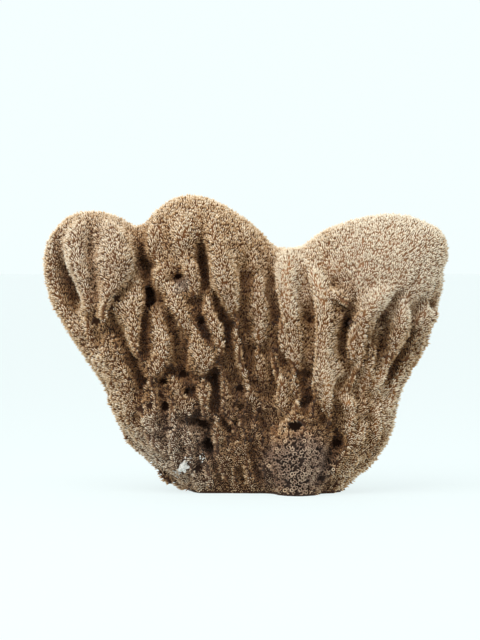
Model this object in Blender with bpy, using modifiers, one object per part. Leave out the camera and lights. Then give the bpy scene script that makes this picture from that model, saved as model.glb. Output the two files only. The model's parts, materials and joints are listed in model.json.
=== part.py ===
"""A dried sea sponge, standing on the flat cut where it was taken off its rock.

Three thick petals fan out from a narrow foot. Upright ribs and fingers cover them, with clefts and pores
between, and a chip of white coral grit sits in a pocket low on the left. Metres, +Z up, the front faces -Y.
"""

import math
import random

import bmesh
import bpy
from mathutils import Matrix, Vector
from mathutils.bvhtree import BVHTree

MM = 0.001

# Driving dimensions
CORE_GRAIN = 4 * MM  # at which the petals are grown together
CORE_EASE = 10  # rounds of smoothing for them
GRAIN = 2.1 * MM  # at which ribs are grown onto them
SKIN_EASE = 1  # rounds for the ribs, and for what is cut out between them
CARVED_EASE = 2  # rounds once that is cut
BODY_TRIANGLES = 9700  # of the sponge, before its foot is cut flat
FAR = 1.0  # farther out than any part of the sponge
MIDDLE_Y = 5 * MM  # where the sponge's depth is centred
FOOT_Z = -8  # millimetres; ribs run on down to here, and the cut takes them off at 0

# Petals and the saddle between two of them. A station is height, left edge, right edge, half depth and
# middle of the depth, in millimetres.
PETALS = {
    "left": (
        (-14, -6, 10, 22, 4),
        (6, -40, 0, 35, 4),
        (20, -60, -8, 39, 4),
        (38, -77, -16, 42, 4),
        (65, -93, -30, 43, 4),
        (95, -112, -48, 42, 4),
        (125, -132, -62, 40, 5),
        (150, -146, -72, 38, 7),
        (175, -149, -74, 34, 8),
        (192, -145, -77, 28, 9),
        (202, -138, -88, 20, 9),
        (209, -130, -104, 9, 9),
    ),
    "middle": (
        (-14, -14, 30, 26, 6),
        (10, -40, 38, 41, 6),
        (60, -62, 28, 47, 8),
        (110, -76, 20, 47, 10),
        (150, -81, 24, 44, 10),
        (178, -82, 24, 38, 9),
        (192, -80, 14, 34, 8),
        (205, -73, -2, 26, 8),
        (214, -63, -17, 17, 8),
        (221, -52, -30, 8, 8),
    ),
    "right": (
        (-14, 12, 36, 26, 0),
        (4, 4, 66, 36, 0),
        (18, 6, 84, 41, 0),
        (36, 8, 97, 45, 0),
        (65, 14, 105, 47, 0),
        (95, 20, 121, 46, -2),
        (125, 28, 136, 44, -4),
        (150, 34, 146, 42, -5),
        (172, 38, 151, 36, -5),
        (186, 44, 152, 29, -5),
        (195, 56, 146, 21, -5),
        (202, 78, 131, 13, -5),
        (207, 96, 118, 6, -5),
    ),
    "saddle": (
        (40, -4, 50, 36, 2),
        (100, 2, 54, 35, 2),
        (150, 8, 60, 30, 0),
        (172, 12, 62, 22, 0),
        (181, 20, 56, 12, 0),
    ),
}
RING_SIDES = 14
ROUNDING = (2 + math.cos(2 * math.pi / RING_SIDES)) / 3  # what subdivision takes off a ring

# Ribs and fingers of the front, from the tip down: x, height and half width in millimetres.
FRONT_RIBS = {
    "left_rim": ((-133, 196, 5), (-141, 185, 7), (-144, 172, 7), (-143, 157, 7), (-138, 142, 8),
                 (-129, 127, 8), (-120, 113, 8), (-112, 98, 7), (-104, 84, 7)),
    "left_inner": ((-121, 199, 5), (-126, 188, 9), (-126, 172, 9), (-120, 158, 8), (-117, 145, 6),
                   (-115, 134, 4)),
    "left_ear": ((-100, 195, 7), (-97, 185, 13), (-96, 172, 16), (-97, 158, 14), (-101, 146, 9),
                 (-104, 136, 7), (-105, 126, 5)),
    "ear_finger": ((-77, 156, 3), (-81, 147, 8), (-84, 135, 12), (-83, 122, 8), (-81, 110, 6),
                   (-78, 98, 3)),
    "left_knob": ((-124, 140, 3), (-121, 128, 5), (-117, 118, 6), (-113, 106, 5), (-108, 96, 4)),
    "left_blade": ((-99, 118, 3), (-96, 108, 4), (-92, 96, 5), (-88, 82, 6), (-84, 68, 6), (-80, 56, 5)),
    "left_edge": ((-108, 100, 6), (-102, 84, 7), (-93, 66, 7), (-85, 50, 7), (-76, 35, 6.5), (-64, 23, 6.5),
                  (-52, 15, 6), (-42, 11, 5)),
    "left_bank": ((-103, 108, 5), (-98, 94, 5), (-93, 78, 5), (-86, 62, 6), (-77, 45, 6), (-67, 29, 7),
                  (-55, 18, 6)),
    "crown_left": ((-66, 196, 5), (-69, 186, 7), (-68, 174, 6)),
    "crown_crest": ((-42, 203, 6), (-46, 192, 9), (-48, 178, 8)),
    "crown_slip": ((-23, 204, 3), (-24, 194, 5), (-24, 184, 4)),
    "knuckle_left": ((-67, 171, 4), (-62, 164, 9), (-62, 152, 8)),
    "knuckle_right": ((-46, 173, 4), (-40, 164, 8), (-38, 153, 7), (-39, 144, 5)),
    "middle_palm": ((-56, 154, 7), (-52, 142, 11), (-47, 131, 9), (-44, 120, 6)),
    "long_finger": ((-68, 138, 3), (-65, 128, 8), (-62, 115, 11), (-62, 104, 10), (-65, 94, 10),
                    (-69, 86, 5)),
    "club_finger": ((-38, 129, 3), (-38, 119, 6), (-34, 107, 11), (-31, 96, 10), (-31, 87, 6)),
    "dark_finger": ((-28, 147, 3), (-27, 135, 7), (-23, 121, 8), (-19, 109, 6), (-18, 98, 4)),
    "lens_finger": ((-31, 86, 3), (-31, 75, 9), (-30, 66, 7), (-28, 56, 3)),
    "leaf_finger": ((-19, 188, 3), (-20, 178, 8), (-18, 166, 11), (-15, 154, 12), (-11, 142, 10),
                    (-8, 131, 6)),
    "blade_finger": ((-6, 130, 3), (-7, 115, 5), (-6, 100, 5), (-1, 85, 6), (3, 72, 6), (9, 58, 5)),
    "cone_finger": ((8, 163, 3), (9, 152, 8), (9, 140, 10), (10, 128, 10), (10, 117, 8), (9, 108, 4)),
    "saddle_rib": ((32, 176, 7), (31, 166, 10), (29, 152, 10), (31, 138, 10), (33, 126, 10), (35, 114, 9),
                   (37, 103, 7), (39, 92, 4)),
    "small_finger_a": ((8, 109, 3), (9, 100, 4), (11, 88, 4), (12, 76, 3)),
    "small_finger_b": ((18, 105, 3), (21, 94, 4), (25, 83, 5), (26, 72, 5), (27, 60, 4)),
    "small_finger_c": ((34, 93, 3), (35, 82, 5), (36, 70, 5), (37, 60, 3)),
    "antler": ((45, 171, 3), (49, 161, 6), (54, 151, 8), (57, 140, 9), (57, 125, 9), (56, 110, 9),
               (56, 95, 9), (58, 80, 9), (59, 67, 8), (60, 55, 5)),
    "antler_branch": ((75, 138, 3), (70, 143, 5), (62, 147, 7), (57, 146, 6)),
    "brow": ((104, 150, 7), (95, 143, 10), (86, 132, 9), (84, 118, 7), (83, 105, 6), (82, 92, 5)),
    "right_finger": ((114, 141, 4), (114, 130, 8), (112, 119, 9), (107, 108, 7), (103, 97, 6),
                     (98, 85, 6), (95, 73, 6), (92, 60, 6), (90, 47, 6), (86, 34, 6), (78, 20, 6),
                     (66, 6, 6)),
    "hook_rib": ((92, 113, 3), (93, 102, 4), (91, 91, 5), (88, 80, 5), (85, 68, 4), (83, 56, 4)),
    "sliver": ((79, 91, 2), (76, 82, 3), (73, 73, 3)),
    "right_rim": ((132, 136, 6), (131, 121, 8), (127, 107, 8), (118, 94, 8), (110, 80, 7), (103, 66, 7)),
    "right_flank": ((118, 101, 5), (111, 88, 6), (104, 76, 6), (100, 64, 7), (98, 50, 7), (95, 37, 7),
                    (88, 25, 7), (75, 12, 7), (60, 0, 7)),
    "right_bank": ((84, 52, 5), (80, 41, 6), (77, 29, 6), (71, 16, 6), (64, 2, 6)),
    "boss_bank": ((72, 74, 6), (74, 62, 7), (73, 50, 6), (74, 38, 5), (68, 25, 6), (60, 12, 6)),
    "boss": ((36, 60, 8), (37, 44, 17), (38, 28, 19), (37, 12, 17), (36, -4, 14)),
    "foot_a": ((-22, 59, 3), (-21, 46, 4), (-21, 34, 4), (-18, 22, 5), (-15, 8, 5)),
    "foot_b": ((-15, 60, 3), (-11, 50, 3), (-7, 41, 4), (-7, 30, 4), (-8, 16, 4)),
    "foot_c": ((-4, 60, 3), (-2, 46, 4), (-1, 32, 4), (1, 20, 5), (4, 4, 5)),
    "foot_d": ((6, 56, 3), (9, 44, 3), (11, 32, 4), (14, 20, 5), (18, 6, 5)),
    "mesh_a": ((-72, 84, 3), (-68, 76, 4), (-65, 67, 4), (-66, 55, 5), (-64, 44, 5)),
    "mesh_b": ((-75, 78, 3), (-74, 66, 4), (-71, 54, 5), (-68, 42, 5), (-60, 30, 6)),
    "mesh_c": ((-55, 86, 4), (-50, 77, 5), (-46, 68, 6), (-45, 58, 5)),
    "mesh_d": ((-57, 74, 3), (-54, 64, 4), (-51, 53, 6), (-54, 42, 7), (-53, 30, 7), (-48, 17, 7)),
    "mesh_e": ((-44, 50, 5), (-43, 38, 7), (-41, 27, 6), (-37, 14, 6), (-32, 2, 6)),
    "mesh_f": ((-31, 30, 4), (-29, 18, 6), (-26, 4, 7)),
}
RIB_STAND = 1.1  # how far a rib's crest stands out of the body, in its half widths
RIB_DEPTH = 1.6  # half depth of a rib, in its half widths
TIP_SHARE = 0.72  # a tip's crest stands out as if it had this share of the rib's widest half width

# Clefts of the front, from the top down: x, height and half width in millimetres.
CLEFTS = {
    "crown": ((-33, 192, 2), (-33, 180, 4), (-32, 170, 4.5), (-30, 160, 4.5), (-28, 149, 5)),
    "long": ((-24, 148, 2.5), (-19, 138, 3), (-15, 128, 3), (-12, 112, 3), (-10, 96, 3), (-7, 85, 3.5),
             (-3, 73, 3.5)),
    "ear_side": ((-77, 186, 2), (-76, 171, 3), (-72, 158, 3.5), (-71, 143, 3.5), (-74, 124, 3),
                 (-74, 112, 2.5), (-73, 101, 2)),
    "ear_top": ((-84, 151, 1.5), (-90, 147, 2.5), (-96, 142, 3), (-99, 131, 2.5), (-93, 121, 3),
                (-87, 108, 3), (-80, 92, 3.5), (-76, 76, 3), (-75, 66, 2.5)),
    "palm_side": ((-57, 130, 2), (-54, 118, 3), (-50, 109, 3.5), (-50, 98, 3), (-48, 91, 2.5)),
    "dark_right": ((-33, 128, 2.5), (-28, 117, 2), (-23, 106, 2), (-21, 94, 2.5), (-22, 82, 3), (-20, 66, 2)),
    "saddle_side": ((20, 180, 1.5), (18, 162, 3), (18, 146, 3.5), (21, 134, 3), (22, 124, 2.5)),
    "antler_left": ((45, 134, 2), (45, 120, 2.5), (43, 104, 2.5), (42, 90, 3), (43, 76, 3), (44, 62, 2.5)),
    "antler_right": ((76, 134, 3.5), (73, 124, 4), (69, 110, 3.5), (74, 97, 3), (74, 84, 3), (71, 73, 2.5)),
    "finger_left": ((100, 132, 3), (101, 120, 3.5), (98, 108, 3.5), (94, 92, 2.5)),
    "finger_right": ((121, 126, 2.5), (119, 112, 3), (111, 98, 3), (104, 83, 2.5)),
    "rim_inner": ((-138, 184, 2), (-135, 168, 3), (-128, 154, 4.5), (-125, 142, 4.5), (-121, 124, 2.5),
                  (-118, 112, 2)),
    "ear_inner": ((-114, 204, 1.5), (-114, 186, 2.5), (-112, 165, 2.5), (-108, 142, 2.5)),
    "foot": ((-37, 51, 2.5), (-31, 50, 3.5), (-27, 42, 4), (-27, 30, 3)),
    "boss_side": ((64, 47, 2.5), (65, 38, 3.5), (60, 28, 3), (55, 16, 3), (50, 9, 3)),
}
CLEFT_DEPTH = 4.2  # half depth of a cleft's blade, in its half widths
CLEFT_STAND = 3.2  # how far the blade reaches out of the body, in its half widths

# Pores of the front: x, height, half width and half height in millimetres.
PORES = (
    (36, 50, 5, 3), (-46, 87, 4, 3.5), (-60, 82, 3.5, 2.5), (-58, 64, 3, 5), (-74, 62, 3.5, 3),
    (-89, 78, 2.5, 2), (-56, 48, 4, 2.5), (-109, 126, 4, 3), (11, 60, 3, 2.5), (-3, 10, 4, 4),
    (54, 12, 3.5, 3), (-35, 19, 3, 3), (-95, 143, 3.5, 3), (-50, 159, 4.5, 2.5), (-32, 127, 3, 3),
    (65, 37, 3.5, 4), (-31, 51, 4.5, 3),
)
PORE_REACH = 16 * MM  # half of a pore's depth

# Ribs, clefts and pores of the hidden sides, made by rule. Heading 0 is the front, 90 the right. Lengths
# are in millimetres: spread is how far the outermost tips stand from the middle, gather the share of it
# that is left at the foot, shift the way the foot lies aside, and drop how far the tips end below the top
# of the petals, which is read along a ridge that far out to the side. Stand is as RIB_STAND.
SIDES = {
    "back": {"heading": 180, "ribs": 17, "spread": 122, "gather": 0.42, "shift": -6, "ridge": 14,
             "drop": (14, 66), "width": (7, 11), "stand": 1.1, "clefts": 9, "pores": 9},
    "left": {"heading": -90, "ribs": 4, "spread": 24, "gather": 0.9, "shift": -4, "ridge": 124,
             "drop": (24, 60), "width": (7, 9), "stand": 0.45, "clefts": 2, "pores": 2},
    "right": {"heading": 90, "ribs": 4, "spread": 28, "gather": 0.9, "shift": 0, "ridge": 124,
              "drop": (24, 60), "width": (7, 9), "stand": 0.45, "clefts": 2, "pores": 2},
}
SEED = 11
RIB_SPOTS = 8
RIB_WANDER = 4  # how far a tip strays aside from its even place, either way
RIB_SWAY = 5  # how far a rib bends aside on its way down, at most
RIB_GATHER = 0.8  # power by which ribs draw together: below 1 they do so early
TIP_SWELL = 0.35  # half width at a tip, in the rib's own
FOOT_SWELL = 0.7  # and from FOOT_SHARE of the way down
FOOT_SHARE = 0.9
SWELL_RATE = 1.1  # half turns of a sine that the swell takes to the foot, from SWELL_START on
SWELL_START = 0.12
TIP_LENGTH = 0.7  # how far a tube runs on past its end spots, in their half widths
TIP_WIDTH = 0.35  # half width that it has there, in the same measure
CLEFT_WIDTH = (2.6, 3.6)
CLEFT_LENGTH = (45, 90)
CLEFT_DROP = (40, 90)  # how far below the top it starts
CLEFT_WANDER = 5  # how far its upper end strays aside, either way
CLEFT_BEND = 3  # and each of its spots
CLEFT_FLOOR = 15  # no cleft comes lower
CLEFT_SPOTS = (0, 0.3, 0.6, 1)  # along its length
CLEFT_TAPER = 0.45  # how much narrower it is at its ends
PORE_WIDTH = (2.2, 4)
PORE_SHAPE = (0.8, 1.4)  # height of a pore in its widths
PORE_HEIGHTS = (18, 130)
PORE_SPREAD = 0.8  # of the ribs' own spread

# The chip of coral grit low on the left
CHIP_PLACE = (-46, 20)  # x and height, millimetres
CHIP_SIZE = (3.4 * MM, 3.2 * MM, 4.4 * MM)  # half its width, depth and height
CHIP_STAND = 5.5 * MM  # how far its middle stands out of the petals
CHIP_GAP = 0.4 * MM  # between the chip and its pocket
CHIP_FACETS = 0.22  # how uneven it is
CHIP_TILT = 0.5  # radians
CHIP_SEED = 5

FIBRE_COLOUR = (0.43, 0.30, 0.18)
FIBRE_ROUGHNESS = 0.95
GRIT_COLOUR = (0.80, 0.78, 0.73)
GRIT_ROUGHNESS = 0.6


def clear_scene():
    for obj in list(bpy.data.objects):
        bpy.data.objects.remove(obj, do_unlink=True)


def collection(name):
    made = bpy.data.collections.new(name)
    bpy.context.scene.collection.children.link(made)
    return made


def material(name, colour, roughness):
    made = bpy.data.materials.new(name)
    made.use_nodes = True
    shader = made.node_tree.nodes["Principled BSDF"]
    shader.inputs["Base Color"].default_value = (*colour, 1)
    shader.inputs["Roughness"].default_value = roughness
    shader.inputs["Metallic"].default_value = 0
    return made


def from_bmesh(bm, name):
    mesh = bpy.data.meshes.new(name)
    bm.to_mesh(mesh)
    bm.free()
    return mesh


def as_mesh(obj):
    """The evaluated mesh of a helper object, in world space, with the helper removed."""
    bpy.context.view_layer.update()
    graph = bpy.context.evaluated_depsgraph_get()
    mesh = bpy.data.meshes.new_from_object(obj.evaluated_get(graph))
    mesh.transform(obj.matrix_world)
    bpy.data.objects.remove(obj, do_unlink=True)
    return mesh


def placed(name, mesh, home):
    obj = bpy.data.objects.new(name, mesh)
    home.objects.link(obj)
    return obj


def petal(name, stations, home):
    """A soft upright form: rings at the stations, bridged and rounded."""
    bm = bmesh.new()
    rings = []
    for place, (z, left, right, half_depth, middle) in enumerate(stations):
        seat = Matrix.Translation(Vector(((left + right) / 2, middle, z)) * MM)
        half_width = (right - left) / 2 * MM / ROUNDING
        ring = bmesh.ops.create_circle(
            bm,
            cap_ends=place in (0, len(stations) - 1),
            segments=RING_SIDES,
            radius=1,
            matrix=seat @ Matrix.Diagonal((half_width, half_depth * MM / ROUNDING, 1, 1)),
        )
        corners = set(ring["verts"])
        rings.append([e for e in bm.edges if set(e.verts) <= corners])
    for lower, upper in zip(rings, rings[1:]):
        bmesh.ops.bridge_loops(bm, edges=lower + upper)
    bmesh.ops.recalc_face_normals(bm, faces=bm.faces)
    obj = placed(name, from_bmesh(bm, name), home)
    soft = obj.modifiers.new("Soft", "SUBSURF")
    soft.levels = soft.render_levels = 2
    return as_mesh(obj)


def tube(points, flatten, turn, home):
    """A tapering tube through (position, half width) points, flatten times deeper than it is wide.

    The points are given as seen from the front, and turn swings the tube round to its side.
    """
    data = bpy.data.curves.new("tube", "CURVE")
    data.dimensions = "3D"
    data.bevel_depth = 1
    data.bevel_resolution = 2
    data.use_fill_caps = True
    data.resolution_u = 4
    spline = data.splines.new("NURBS")
    spline.points.add(len(points) - 1)
    for spot, (place, half_width) in zip(spline.points, points):
        spot.co = (place.x, place.y / flatten, place.z, 1)
        spot.radius = half_width
    spline.order_u = 3
    spline.use_endpoint_u = True
    obj = placed("tube", data, home)
    obj.matrix_world = turn @ Matrix.Diagonal((1, flatten, 1, 1))
    return as_mesh(obj)


def grown(meshes, name, grain, rounds, home):
    """Overlapping shells grown into one skin of square faces, then eased by some rounds of smoothing."""
    bm = bmesh.new()
    for mesh in meshes:
        bm.from_mesh(mesh)
        bpy.data.meshes.remove(mesh)
    bmesh.ops.remove_doubles(bm, verts=bm.verts, dist=0.00001)
    bmesh.ops.recalc_face_normals(bm, faces=bm.faces)
    obj = placed(name, from_bmesh(bm, name), home)
    grow = obj.modifiers.new("Grow together", "REMESH")
    grow.mode = "VOXEL"
    grow.voxel_size = grain
    ease = obj.modifiers.new("Ease", "SMOOTH")
    ease.factor = 0.5
    ease.iterations = rounds
    return as_mesh(obj)


def tree_of(mesh):
    bm = bmesh.new()
    bm.from_mesh(mesh)
    tree = BVHTree.FromBMesh(bm)
    bm.free()
    return tree


def largest_body(mesh):
    """Drops the crumbs that carving leaves loose."""
    bm = bmesh.new()
    bm.from_mesh(mesh)
    waiting = set(bm.verts)
    bodies = []
    while waiting:
        body = {waiting.pop()}
        edge = list(body)
        while edge:
            near = {link.other_vert(vert) for vert in edge for link in vert.link_edges} - body
            body |= near
            edge = list(near)
        waiting -= body
        bodies.append(body)
    bodies.sort(key=len)
    crumbs = [vert for body in bodies[:-1] for vert in body]
    bmesh.ops.delete(bm, geom=crumbs, context="VERTS")
    bm.to_mesh(mesh)
    bm.free()


def swing(heading):
    return Matrix.Rotation(math.radians(heading), 4, "Z")


def surface_point(tree, across, z, turn):
    """Where a level ray from one side meets the petals, in the frame that has that side in front."""
    start = turn @ Vector((across, -FAR, z))
    hit = tree.ray_cast(start, turn @ Vector((0, 1, 0)))[0]
    if hit is None:
        hit = tree.find_nearest(turn @ Vector((across, MIDDLE_Y, z)))[0]
    return Vector((across, (turn.inverted() @ hit).y, z))


def strip(tree, spots, turn, stand, flatten, home):
    """A tube laid on the petals, so that its crest stands out by stand times its half width."""
    widest = max(half_width for *_, half_width in spots)
    points = []
    for across, z, half_width in spots:
        place = surface_point(tree, across * MM, max(z, 0) * MM, turn)
        crest = stand * max(half_width, TIP_SHARE * widest)
        place.y -= (crest - flatten * half_width) * MM
        place.z = z * MM
        points.append((place, half_width * MM))
    for end, inner in ((points[0], points[1]), (points[-1], points[-2])):
        way = (end[0] - inner[0]).normalized()
        points.insert(
            0 if end is points[0] else len(points), (end[0] + way * TIP_LENGTH * end[1], end[1] * TIP_WIDTH)
        )
    return tube(points, flatten, turn, home)


def pore(tree, across, z, half_width, half_height, turn):
    bm = bmesh.new()
    place = Matrix.Translation(surface_point(tree, across * MM, z * MM, turn))
    size = Matrix.Diagonal((half_width * MM, PORE_REACH, half_height * MM, 1))
    bmesh.ops.create_uvsphere(bm, u_segments=10, v_segments=8, radius=1, matrix=turn @ place @ size)
    return from_bmesh(bm, "pore")


def ridge_height(tree, side, across):
    """Height of the petals over one side, in millimetres."""
    start = swing(side["heading"]) @ Vector((across * MM, -side["ridge"] * MM, FAR))
    hit = tree.ray_cast(start, Vector((0, 0, -1)))[0] or tree.find_nearest(start)[0]
    return hit.z / MM


def swell(t):
    """Half width of a hidden side's rib a share t of the way down, in the rib's own."""
    if t > FOOT_SHARE:
        return FOOT_SWELL
    rise = math.sin(math.pi * min(1, SWELL_START + SWELL_RATE * t))
    return TIP_SWELL + (1 - TIP_SWELL) * math.sqrt(rise)


def side_ribs(tree, side, draw, home):
    """Ribs that gather from the rim of one side down to the foot, at uneven heights and widths."""
    turn = swing(side["heading"])
    made = []
    for number in range(side["ribs"]):
        share = 2 * number / (side["ribs"] - 1) - 1
        tip = side["spread"] * share + draw.uniform(-RIB_WANDER, RIB_WANDER)
        foot = tip * side["gather"] + side["shift"]
        tip_z = ridge_height(tree, side, tip) - draw.uniform(*side["drop"])
        width = draw.uniform(*side["width"])
        sway = draw.uniform(-RIB_SWAY, RIB_SWAY)
        spots = []
        for step in range(RIB_SPOTS):
            t = step / (RIB_SPOTS - 1)
            across = tip + (foot - tip) * t**RIB_GATHER + sway * math.sin(2 * math.pi * t)
            spots.append((across, tip_z + (FOOT_Z - tip_z) * t, width * swell(t)))
        made.append(strip(tree, spots, turn, side["stand"], RIB_DEPTH, home))
    return made


def side_hollows(tree, side, draw, home):
    """Clefts and pores of one side, strewn between its ribs."""
    turn = swing(side["heading"])
    made = []
    for number in range(side["clefts"]):
        share = (2 * number + 1) / side["clefts"] - 1
        tip = side["spread"] * share + draw.uniform(-CLEFT_WANDER, CLEFT_WANDER)
        foot = tip * side["gather"] + side["shift"]
        top = ridge_height(tree, side, tip)
        start = top - draw.uniform(*CLEFT_DROP)
        length = draw.uniform(*CLEFT_LENGTH)
        width = draw.uniform(*CLEFT_WIDTH)
        spots = []
        for t in CLEFT_SPOTS:
            z = max(start - length * t, CLEFT_FLOOR)
            across = foot + (tip - foot) * z / top + draw.uniform(-CLEFT_BEND, CLEFT_BEND)
            spots.append((across, z, width * (1 - CLEFT_TAPER * abs(2 * t - 1))))
        made.append(strip(tree, spots, turn, CLEFT_STAND, CLEFT_DEPTH, home))
    for _ in range(side["pores"]):
        z = draw.uniform(*PORE_HEIGHTS)
        across = draw.uniform(-PORE_SPREAD, PORE_SPREAD) * side["spread"]
        half_width = draw.uniform(*PORE_WIDTH)
        half_height = half_width * draw.uniform(*PORE_SHAPE)
        made.append(pore(tree, across, z, half_width, half_height, turn))
    return made


def chip(grow_by, place):
    """A worn chip of grit, or with grow_by the pocket that leaves a gap round it."""
    draw = random.Random(CHIP_SEED)
    bm = bmesh.new()
    bmesh.ops.create_icosphere(bm, subdivisions=2, radius=1)
    for vert in bm.verts:
        wear = 1 + draw.uniform(-CHIP_FACETS, CHIP_FACETS)
        vert.co = Vector([(size * wear + grow_by) * c for size, c in zip(CHIP_SIZE, vert.co)])
    seat = Matrix.Translation(place) @ Matrix.Rotation(CHIP_TILT, 4, "Y")
    bmesh.ops.transform(bm, matrix=seat, verts=bm.verts)
    return from_bmesh(bm, "chip")


def cut(obj, name, cutter):
    cutter.hide_render = True
    cutter.display_type = "WIRE"
    carve = obj.modifiers.new(name, "BOOLEAN")
    carve.operation = "DIFFERENCE"
    carve.object = cutter


def floor_block(home):
    """Everything under the flat cut."""
    bm = bmesh.new()
    bmesh.ops.create_cube(bm, size=1, matrix=Matrix.Translation((0, 0, -0.5 * FAR)) @ Matrix.Scale(FAR, 4))
    return placed("under_the_cut", from_bmesh(bm, "under_the_cut"), home)


def centred(objects):
    """Moves the meshes so that the middle of their common box stands over the origin."""
    bpy.context.view_layer.update()
    graph = bpy.context.evaluated_depsgraph_get()
    corners = [Vector(corner) for obj in objects for corner in obj.evaluated_get(graph).bound_box]
    for axis in (0, 1):
        side = [corner[axis] for corner in corners]
        middle = (min(side) + max(side)) / 2
        for obj in bpy.data.objects:
            for vert in obj.data.vertices:
                vert.co[axis] -= middle


def main():
    clear_scene()
    parts = collection("sea_sponge")
    cutters = collection("cutters")
    front = swing(0)

    core = grown([petal(*item, parts) for item in PETALS.items()], "core", CORE_GRAIN, CORE_EASE, parts)
    tree = tree_of(core)
    draw = random.Random(SEED)
    ribs = [strip(tree, spots, front, RIB_STAND, RIB_DEPTH, parts) for spots in FRONT_RIBS.values()]
    hollows = [strip(tree, spots, front, CLEFT_STAND, CLEFT_DEPTH, parts) for spots in CLEFTS.values()]
    hollows += [pore(tree, *spot, front) for spot in PORES]
    for side in SIDES.values():
        ribs += side_ribs(tree, side, draw, parts)
        hollows += side_hollows(tree, side, draw, parts)

    skin = placed("skin", grown([core, *ribs], "skin", GRAIN, SKIN_EASE, parts), parts)
    cutter = placed("hollows", grown(hollows, "hollows", GRAIN, SKIN_EASE, parts), cutters)
    cut(skin, "Clefts and pores", cutter)
    carved = grown([as_mesh(skin)], "carved", GRAIN, CARVED_EASE, parts)
    largest_body(carved)
    carved.calc_loop_triangles()

    sponge = placed("sponge", carved, parts)
    thin = sponge.modifiers.new("Thin out", "DECIMATE")
    thin.ratio = BODY_TRIANGLES / len(carved.loop_triangles)
    cut(sponge, "Cut off the rock", floor_block(cutters))
    x, z = CHIP_PLACE
    seat = surface_point(tree, x * MM, z * MM, front) + Vector((0, -CHIP_STAND, 0))
    cut(sponge, "Pocket", placed("pocket", chip(CHIP_GAP, seat), cutters))
    grit = placed("coral_chip", chip(0, seat), parts)
    centred((sponge, grit))

    sponge.data.materials.append(material("sponge_fibre", FIBRE_COLOUR, FIBRE_ROUGHNESS))
    grit.data.materials.append(material("coral_grit", GRIT_COLOUR, GRIT_ROUGHNESS))
    for obj in (sponge, grit):
        obj.data.shade_smooth()


main()
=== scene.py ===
# Dried sea sponge: its looks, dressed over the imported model.
import json
import math
import random

import bmesh
import bpy
from mathutils import Matrix, Vector, noise
from mathutils.bvhtree import BVHTree
from mathutils.kdtree import KDTree

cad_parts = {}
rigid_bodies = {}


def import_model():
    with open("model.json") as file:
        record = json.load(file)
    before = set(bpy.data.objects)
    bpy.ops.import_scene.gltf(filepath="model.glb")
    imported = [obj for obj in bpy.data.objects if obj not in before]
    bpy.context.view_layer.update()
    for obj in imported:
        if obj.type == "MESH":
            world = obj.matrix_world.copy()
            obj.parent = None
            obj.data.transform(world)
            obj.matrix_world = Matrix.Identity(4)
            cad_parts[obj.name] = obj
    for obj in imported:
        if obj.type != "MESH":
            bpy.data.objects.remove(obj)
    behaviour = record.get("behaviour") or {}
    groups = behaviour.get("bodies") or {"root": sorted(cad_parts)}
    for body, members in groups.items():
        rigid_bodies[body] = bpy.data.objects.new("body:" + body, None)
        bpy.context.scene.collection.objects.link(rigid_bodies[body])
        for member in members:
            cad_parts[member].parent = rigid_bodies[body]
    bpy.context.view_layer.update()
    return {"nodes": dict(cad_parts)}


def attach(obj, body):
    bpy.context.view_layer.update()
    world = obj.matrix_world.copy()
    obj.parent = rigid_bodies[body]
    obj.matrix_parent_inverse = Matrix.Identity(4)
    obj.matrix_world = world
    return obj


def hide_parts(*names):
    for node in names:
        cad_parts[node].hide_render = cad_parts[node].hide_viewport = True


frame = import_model()
mm = 0.001
weld = 0.02 * mm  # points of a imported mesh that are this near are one
noise.seed_set(4)  # or else noise vectors differ from run to run


# small helpers

def only(obj):  # selects one object alone
    if bpy.context.object and bpy.context.object.mode != "OBJECT":
        bpy.ops.object.mode_set(mode="OBJECT")
    bpy.ops.object.select_all(action="DESELECT")
    obj.select_set(True)
    bpy.context.view_layer.objects.active = obj


def applyAll(obj):
    only(obj)
    for name in [mod.name for mod in obj.modifiers]:
        bpy.ops.object.modifier_apply(modifier=name)


def edit(obj):  # edit mode with everything selected
    only(obj)
    bpy.ops.object.mode_set(mode="EDIT")
    bpy.ops.mesh.select_all(action="SELECT")


def editDone():
    bpy.ops.object.mode_set(mode="OBJECT")


def copyOf(obj, name):
    made = obj.copy()
    made.data = made.data.copy()
    made.name = made.data.name = name
    bpy.context.scene.collection.objects.link(made)
    return made


def copyOfNode(node, name):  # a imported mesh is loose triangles, so its copy is merged
    made = copyOf(frame["nodes"][node], name)
    made.parent = None
    for key in list(made.keys()):
        del made[key]
    made.data.materials.clear()
    edit(made)
    bpy.ops.mesh.remove_doubles(threshold=weld)
    editDone()
    return made


def remove(obj):
    bpy.data.objects.remove(obj, do_unlink=True)


def smooth(obj, rounds):
    if rounds:
        mod = obj.modifiers.new("ease", "SMOOTH")
        mod.factor = 0.5
        mod.iterations = rounds
    applyAll(obj)


def regrow(obj, grain, rounds):  # even faces all over, then eased
    mod = obj.modifiers.new("regrow", "REMESH")
    mod.mode = "VOXEL"
    mod.voxel_size = grain
    smooth(obj, rounds)


def treeOf(obj):
    bm = bmesh.new()
    bm.from_mesh(obj.data)
    tree = BVHTree.FromBMesh(bm)
    bm.free()
    return tree


def store(obj, name, values):
    spot = obj.data.attributes.get(name) or obj.data.attributes.new(name, "FLOAT", "POINT")
    spot.data.foreach_set("value", values)


def stored(obj, name):
    values = [0.0] * len(obj.data.vertices)
    obj.data.attributes[name].data.foreach_get("value", values)
    return values


def clamp(value, low=0.0, high=1.0):
    return max(low, min(high, value))


def move(obj, moved):  # puts every point at its new place, all at once
    obj.data.vertices.foreach_set("co", [part for place in moved for part in place])
    obj.data.update()


def joined(first, *others):
    only(first)
    for other in others:
        other.select_set(True)
    bpy.ops.object.join()
    return first


def triangles(obj):
    obj.data.calc_loop_triangles()
    return len(obj.data.loop_triangles)


# node trees and materials

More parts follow.
